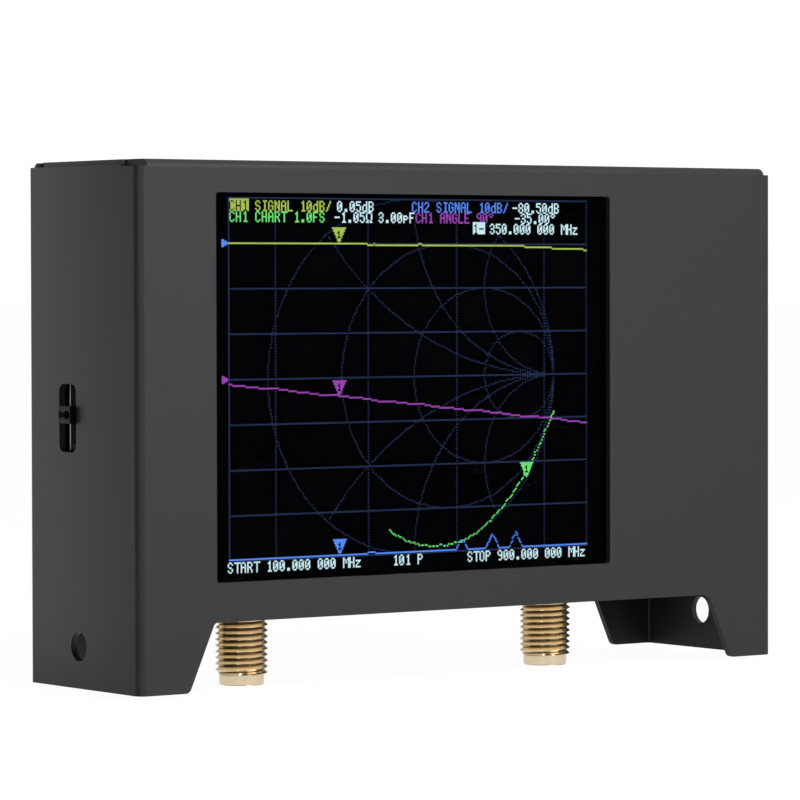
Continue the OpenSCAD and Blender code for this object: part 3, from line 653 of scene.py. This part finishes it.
class Picture:
    """The display's lit dots, drawn as on a pixel screen and then built as thin raised dots."""

    def __init__(self):
        self.dots = {}

    def dot(self, col, row, colour):
        if 0 <= col < COLUMNS and 0 <= row < ROWS:
            self.dots[int(col), int(row)] = colour

    def clear(self, col, row):
        self.dots.pop((int(col), int(row)), None)

    def line(self, col0, row0, col1, row1, colour, every=1):
        """A line one dot wide, of which only some dots are lit when every is more than one."""
        steps = int(max(abs(col1 - col0), abs(row1 - row0), 1))
        for i in range(0, steps + 1, every):
            part = i / steps
            self.dot(round(col0 + (col1 - col0) * part), round(row0 + (row1 - row0) * part), colour)

    def trace(self, height, colour):
        """Joins height(part) across the grid, one column at a time."""
        last = None
        for i in range(0, GRID_W, 2):
            here = (GRID_LEFT + i, height(i / GRID_W))
            if last:
                self.line(*last, *here, colour)
            last = here

    def arc(self, col, row, radius, colour, inside=None):
        """A dotted circle; with inside, only where that function of the place is true."""
        steps = int(8 * radius)
        places = []
        for i in range(steps):
            a = 2 * math.pi * i / steps
            place = (round(col + radius * math.cos(a)), round(row + radius * math.sin(a)))
            if place not in places[-2:]:
                places.append(place)
        for c, r in places[::2]:
            if inside is None or inside(c, r):
                self.dot(c, r, colour)

    def text(self, col, row, words, colour, boxed=False):
        """Letters in cells of equal width. Boxed letters are dark on a lit ground."""
        for letter in words:
            lines = GLYPHS[letter].split()
            for dy in range(-1 if boxed else 0, 7):
                for dx in range(CELL):
                    lit = dy >= 0 and dx < len(lines[dy]) and lines[dy][dx] == "#"
                    if lit != boxed:
                        self.dot(col + dx, row + dy, colour)
                    else:
                        self.clear(col + dx, row + dy)
            col += CELL

    def marker(self, col, row, colour):
        """A pennant whose tip is at (col, row), with a figure 1 left dark in it."""
        for dy in range(10):
            half = round(5 * dy / 9)
            for dx in range(-half, half + 1):
                stem = dx == 0 and 3 <= dy <= 7
                foot = abs(dx) <= 1 and dy == 3
                flag = dx == -1 and dy == 6
                if stem or foot or flag:
                    self.clear(col + dx, row - dy)
                else:
                    self.dot(col + dx, row - dy, colour)

    def pointer(self, row, colour):
        """A small pennant at the left edge that points at a trace's reference line."""
        for dx in range(5):
            for dy in range(dx // 2 - 2, 3 - dx // 2):
                self.dot(GRID_LEFT - 5 + dx, row + dy, colour)

    def build(self, materials):
        """One piece of thin raised bars for each colour."""
        low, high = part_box("lcd_glass")
        left = low.x + PICTURE_INSET.x
        top = high.z - PICTURE_INSET.y
        face = low.y
        runs = {}
        for row in range(ROWS):
            col = 0
            while col < COLUMNS:
                colour = self.dots.get((col, row))
                if colour is None:
                    col += 1
                    continue
                start = col
                while self.dots.get((col, row)) == colour:
                    col += 1
                runs.setdefault(colour, []).append((row, start, col))
        for colour, bars in sorted(runs.items()):
            bm = bmesh.new()
            for row, start, end in bars:
                add_box(bm, (left + start * DOT, face - DOT_LIFT, top - (row + 1) * DOT),
                        (left + end * DOT, face, top - row * DOT))
            piece = new_piece(colour.replace("screen", "picture"), bm, "case", colour, materials)
            for polygon in piece.data.polygons:
                polygon.use_smooth = False


def draw_grid(picture):
    grid = "screen_grid"
    right = GRID_LEFT + GRID_W - 1
    for row in range(0, GRID_H + 1, DIVISION):
        picture.line(GRID_LEFT, row, right, row, grid)
    for part in (0, 1 / 8, 3 / 8, 5 / 8, 7 / 8, 1):
        col = GRID_LEFT + part * (GRID_W - 1)
        picture.line(col, 0, col, GRID_H, grid, 2 if part else 1)


def draw_chart(picture):
    """The circular impedance chart: circles of resistance and arcs of reactance."""
    grid = "screen_grid"
    right = CHART_COL + CHART_R

    def in_chart(c, r):
        return math.hypot(c - CHART_COL, r - CHART_ROW) <= CHART_R + 0.5

    for part in (1, 3 / 4, 1 / 2, 1 / 4):
        picture.arc(right - CHART_R * part, CHART_ROW, CHART_R * part, grid)
    for part in (1 / 2, 1, 2):
        for side in (-1, 1):
            picture.arc(right, CHART_ROW + side * CHART_R * part, CHART_R * part, grid, in_chart)


def level_trace(part):
    """The yellow trace: level, with two one-dot bumps and a few steps down towards the right."""
    drop = sum(part > step for step in (0.378, 0.814, 0.9, 0.983))
    bump = any(abs(part - place) < half for place, half in ((0.392, 0.006), (0.519, 0.008)))
    return DIVISION + drop - bump


def angle_trace(part):
    """The magenta trace: a straight fall with a faint ripple."""
    return 119 + 30 * part + 0.3 * math.sin(34 * part) + 0.2 * math.sin(81 * part)


def floor_trace(part):
    """The blue trace: a floor with three peaks."""
    ground = GRID_H - 1
    row = ground
    half = 5
    for place, height in ((0.382, 1), (0.636, 7), (0.723, 10), (0.79, 10)):
        away = abs(part - place) * GRID_W
        if away < half:
            row = ground - height * (1 - away / half) ** 0.8
    return row


def draw_spiral(picture):
    """The green trace: an arc along the chart's rim that drifts inwards as it goes round."""
    green = "screen_green"
    start = -2
    last = None
    for degrees in range(start, 107):
        share = 0.76 + 0.24 * math.exp((start - degrees) / 25)
        share -= 0.12 * max(0, (degrees - 58) / 47) ** 1.3
        ripple = 0.5 * math.sin(degrees * 1.1) * math.sin(degrees * 0.31)
        radius = CHART_R * share + ripple
        a = math.radians(degrees)
        here = (CHART_COL + radius * math.cos(a),
                CHART_ROW + DIVISION + radius * math.sin(a))
        if last:
            picture.line(*last, *here, green)
        last = here


def draw_readouts(picture):
    white = "screen_white"
    picture.text(21, 2, "CH1", "screen_yellow", boxed=True)
    picture.text(41, 2, "SIGNAL 10dB/", "screen_yellow")
    picture.text(105, 2, "0.05dB", white)
    picture.text(165, 2, "CH2 SIGNAL 10dB/", "screen_blue")
    picture.text(248, 2, "-80.50dB", white)
    picture.text(21, 9, "CH1 CHART 1.0FS", "screen_green")
    picture.text(103, 9, "-1.05w 3.00pF", white)
    picture.text(168, 9, "CH1 ANGLE 90o", "screen_magenta")
    picture.text(250, 9, "-35.00o", white)
    picture.text(215, 16, "1", white, boxed=True)
    picture.text(220, 16, "-", white, boxed=True)
    picture.text(229, 16, "350.000 000 MHz", white)
    picture.text(19, GRID_H + 1, "START 100.000 000 MHz", white)
    picture.text(149, GRID_H + 1, "101 P", white)
    picture.text(210, GRID_H + 1, "STOP 900.000 000 MHz", white)


def make_picture(materials):
    picture = Picture()
    draw_grid(picture)
    draw_chart(picture)
    marked = GRID_LEFT + MARKED
    share = MARKED / GRID_W
    picture.trace(angle_trace, "screen_magenta")
    picture.trace(floor_trace, "screen_blue")
    draw_spiral(picture)
    picture.trace(level_trace, "screen_yellow")
    picture.marker(marked, round(level_trace(share)) - 1, "screen_yellow")
    picture.marker(marked, round(angle_trace(share)) - 1, "screen_magenta")
    picture.marker(marked, round(floor_trace(share)) - 1, "screen_blue")
    picture.marker(259, 184, "screen_green")
    picture.pointer(DIVISION, "screen_blue")
    picture.pointer(CHART_ROW, "screen_magenta")
    draw_readouts(picture)
    picture.build(materials)


# ---------- touch panel ----------

WINDOW_GAP = 0.08 * MM


def make_window(materials):
    """The clear touch panel, thinned from behind to leave room for the display's raised dots."""
    low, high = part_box("touch_panel")
    bm = bmesh.new()
    add_box(bm, low, (high.x, high.y - WINDOW_GAP, high.z))
    piece = new_piece("touch_panel_window", bm, "case", "window_glass", materials, ["touch_panel"])
    add_modifier(piece, "BEVEL", width=0.1 * MM, segments=2, limit_method="ANGLE")


# ---------- stage ----------

ROOM_LEVEL = 0.03
BACKDROP_LEVEL = 0.5
BACKDROP_EDGE = (-0.1, 0.25)
FLOOR_GLOW = 0.05
FLOOR_SHINE = 0.7
FLOOR_SEEN = 0.97
FLOOR_HALF = 6
FLOOR_DROP = 0.01 * MM
BACKDROP_SEEN = 1.05
AIM = Vector((0, 0, 30)) * MM
LIGHTS = {
    "main_box": ((100, -450, 450), (300, 200), 3.0),
    "low_front_box": ((120, -485, 60), (440, 300), 1.19),
    "left_strip": ((-380, -330, 60), (40, 260), 0.45),
    "wall_strip": ((-57, 24, 35), (14, 140), 0.0056),
    "top_left_box": ((120, -120, 560), (260, 260), 0.2),
}


def make_floor():
    """A pale floor that runs out of sight, lit evenly enough to read as white."""
    bm = bmesh.new()
    for x, y in ((-1, -1), (1, -1), (1, 1), (-1, 1)):
        bm.verts.new((x * FLOOR_HALF, y * FLOOR_HALF, -FLOOR_DROP))
    bm.faces.new(bm.verts)
    mesh = bpy.data.meshes.new("floor")
    bm.to_mesh(mesh)
    bm.free()
    floor = bpy.data.objects.new("floor", mesh)
    bpy.context.scene.collection.objects.link(floor)
    s = Shader("floor_paper")
    fibre = s.noise(0.8 * MM, detail=3)
    s.colour(s.mix(fibre, (0.05, 0.05, 0.05), (0.06, 0.06, 0.06)))
    s.roughness(s.ramp(fibre, 0.8, 0.95))
    path = s.tree.nodes.new("ShaderNodeLightPath").outputs
    seen = s.ramp(path["Is Camera Ray"], FLOOR_GLOW, FLOOR_SEEN)
    shone = s.ramp(path["Is Glossy Ray"], 0, FLOOR_SHINE - FLOOR_GLOW)
    s.link(s.maths("ADD", seen, shone), s.surface.inputs["Emission Strength"])
    s.set(Specular_IOR_Level=0.0, Emission_Color=(1, 1, 1, 1))
    mesh.materials.append(s.material)


def make_world():
    """White backdrop behind the object, and a darker room on the camera's side."""
    world = bpy.data.worlds.new("studio")
    bpy.context.scene.world = world
    world.use_nodes = True
    tree = world.node_tree
    new = tree.nodes.new
    output = tree.nodes["World Output"]
    room = tree.nodes["Background"]
    room.inputs["Color"].default_value = (1, 1, 1, 1)
    backdrop = new("ShaderNodeBackground")
    backdrop.inputs["Color"].default_value = (1, 1, 1, 1)
    backdrop.inputs["Strength"].default_value = BACKDROP_SEEN
    place = new("ShaderNodeTexCoord").outputs["Generated"]
    facing = new("ShaderNodeVectorMath")
    facing.operation = "DOT_PRODUCT"
    facing.inputs[1].default_value = CAMERA_LOOK
    tree.links.new(place, facing.inputs[0])
    fade = new("ShaderNodeMapRange")
    fade.interpolation_type = "SMOOTHSTEP"
    fade.inputs["From Min"].default_value = BACKDROP_EDGE[0]
    fade.inputs["From Max"].default_value = BACKDROP_EDGE[1]
    fade.inputs["To Min"].default_value = ROOM_LEVEL
    fade.inputs["To Max"].default_value = BACKDROP_LEVEL
    tree.links.new(facing.outputs["Value"], fade.inputs["Value"])
    tree.links.new(fade.outputs["Result"], room.inputs["Strength"])
    seen = new("ShaderNodeLightPath").outputs["Is Camera Ray"]
    mixed = new("ShaderNodeMixShader")
    tree.links.new(seen, mixed.inputs["Fac"])
    tree.links.new(room.outputs["Background"], mixed.inputs[1])
    tree.links.new(backdrop.outputs["Background"], mixed.inputs[2])
    tree.links.new(mixed.outputs["Shader"], output.inputs["Surface"])


def make_lights():
    for name, (spot, size, power) in LIGHTS.items():
        data = bpy.data.lights.new(name, "AREA")
        data.shape = "RECTANGLE"
        data.size = size[0] * MM
        data.size_y = size[1] * MM
        data.energy = power
        light = bpy.data.objects.new(name, data)
        light.location = Vector(spot) * MM
        light.rotation_mode = "QUATERNION"
        light.rotation_quaternion = (AIM - light.location).to_track_quat("-Z", "Y")
        light.visible_camera = False
        bpy.context.scene.collection.objects.link(light)
    bpy.context.scene.view_settings.view_transform = "Standard"


# ---------- the whole object ----------

EDGES = {
    "case_sleeve": 0.14 * MM,
    "chassis": 0.14 * MM,
    "case_screws": 0.06 * MM,
    "power_knob": 0.12 * MM,
    "jog_housing": 0.1 * MM,
    "jog_cover": 0.05 * MM,
    "usb_shell": 0.06 * MM,
    "usb_tongue": 0.06 * MM,
    "rear_standoffs": 0.08 * MM,
    "front_spacers": 0.08 * MM,
    "left_shield": 0.1 * MM,
    "right_shield": 0.1 * MM,
    "battery_cell": 0.3 * MM,
    "rf_chips": 0.05 * MM,
    "processor_chip": 0.05 * MM,
    "quartz_crystal": 0.1 * MM,
    "power_switch_frame": 0.05 * MM,
    "power_switch_base": 0.05 * MM,
    "battery_socket": 0.1 * MM,
    "battery_plug": 0.1 * MM,
}


make_camera()
finishes = make_materials()
for node_name in NODES:
    finish_node(node_name, finishes, EDGES.get(node_name))
for port_number in (1, 2):
    make_jack(port_number, finishes)
make_lever(finishes)
make_window(finishes)
make_picture(finishes)
make_floor()
make_world()
make_lights()
